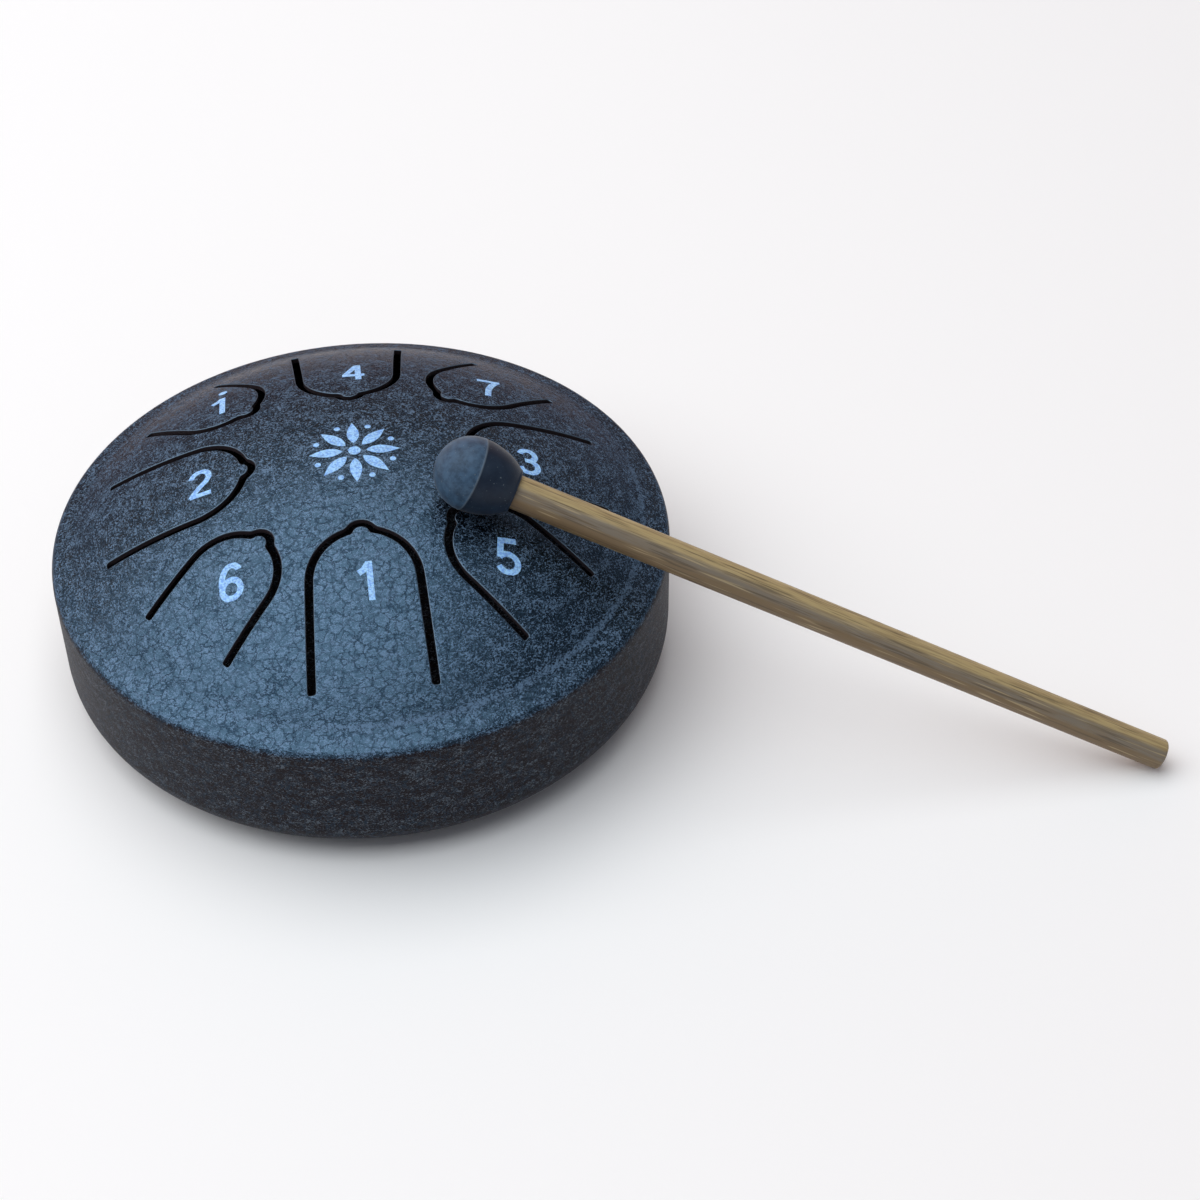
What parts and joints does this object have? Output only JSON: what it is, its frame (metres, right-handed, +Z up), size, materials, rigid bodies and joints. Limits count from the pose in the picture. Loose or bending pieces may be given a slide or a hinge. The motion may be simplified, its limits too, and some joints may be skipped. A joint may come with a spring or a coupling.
{
  "type": "tongue drum",
  "caption": "Small round steel tongue drum with numbered tongues cut in a domed top, a sound hole in the base, rubber feet and a rubber-headed wooden mallet laid across it.",
  "frame": {"origin": "on the table under the middle of the whole set, drum and mallet together", "axes": "+Z up through the dome, +X towards the far end of the mallet's stick, -Y towards the tongue of the lowest note"},
  "size_m": [0.2612, 0.15, 0.0757],
  "materials": {
    "coat": "satin crackled powder coat",
    "foot_rubber": "matt",
    "head_rubber": "matt, dusty",
    "wood": "bare, sanded"
  },
  "bodies": {
    "drum": {"top_shell": "coat", "bottom_pan": "coat", "foot_front": "foot_rubber", "foot_right": "foot_rubber", "foot_left": "foot_rubber"},
    "tongue_1": {"tongue_1": "coat"},
    "tongue_5": {"tongue_5": "coat"},
    "tongue_3": {"tongue_3": "coat"},
    "tongue_7": {"tongue_7": "coat"},
    "tongue_4": {"tongue_4": "coat"},
    "tongue_1_high": {"tongue_1_high": "coat"},
    "tongue_2": {"tongue_2": "coat"},
    "tongue_6": {"tongue_6": "coat"},
    "mallet": {"mallet_head": "head_rubber", "mallet_stick": "wood"}
  },
  "joints": [
    {"name": "tongue_1_flex", "type": "hinge", "parent": "drum", "child": "tongue_1", "pos_m": [-0.05624, -0.0611, 0.04336], "axis": [-0.9999, 0.0105, 0], "range_deg": [-0.4, 0.8], "stiffness_Nm_per_rad": 0.5},
    {"name": "tongue_5_flex", "type": "hinge", "parent": "drum", "child": "tongue_5", "pos_m": [-0.01172, -0.04092, 0.04405], "axis": [-0.682, -0.7314, 0], "range_deg": [-0.4, 0.8], "stiffness_Nm_per_rad": 0.5},
    {"name": "tongue_3_flex", "type": "hinge", "parent": "drum", "child": "tongue_3", "pos_m": [0.00335, 0.00237, 0.04467], "axis": [0.0401, -0.9992, 0], "range_deg": [-0.4, 0.8], "stiffness_Nm_per_rad": 0.5},
    {"name": "tongue_7_flex", "type": "hinge", "parent": "drum", "child": "tongue_7", "pos_m": [-0.01402, 0.04143, 0.04485], "axis": [0.7059, -0.7083, 0], "range_deg": [-0.4, 0.8], "stiffness_Nm_per_rad": 0.5},
    {"name": "tongue_4_flex", "type": "hinge", "parent": "drum", "child": "tongue_4", "pos_m": [-0.05534, 0.06, 0.04405], "axis": [1, -0.0044, 0], "range_deg": [-0.4, 0.8], "stiffness_Nm_per_rad": 0.5},
    {"name": "tongue_1_high_flex", "type": "hinge", "parent": "drum", "child": "tongue_1_high", "pos_m": [-0.09763, 0.0424, 0.04424], "axis": [0.7102, 0.704, 0], "range_deg": [-0.4, 0.8], "stiffness_Nm_per_rad": 0.5},
    {"name": "tongue_2_flex", "type": "hinge", "parent": "drum", "child": "tongue_2", "pos_m": [-0.11569, 0.00136, 0.04399], "axis": [0.0227, 0.9997, 0], "range_deg": [-0.4, 0.8], "stiffness_Nm_per_rad": 0.5},
    {"name": "tongue_6_flex", "type": "hinge", "parent": "drum", "child": "tongue_6", "pos_m": [-0.09783, -0.04149, 0.04454], "axis": [-0.7009, 0.7133, 0], "range_deg": [-0.4, 0.8], "stiffness_Nm_per_rad": 0.5},
    {"name": "mallet_lift", "type": "slide", "parent": "drum", "child": "mallet", "axis": [0, 0, 1], "range_m": [0, 0.1]}
  ]
}
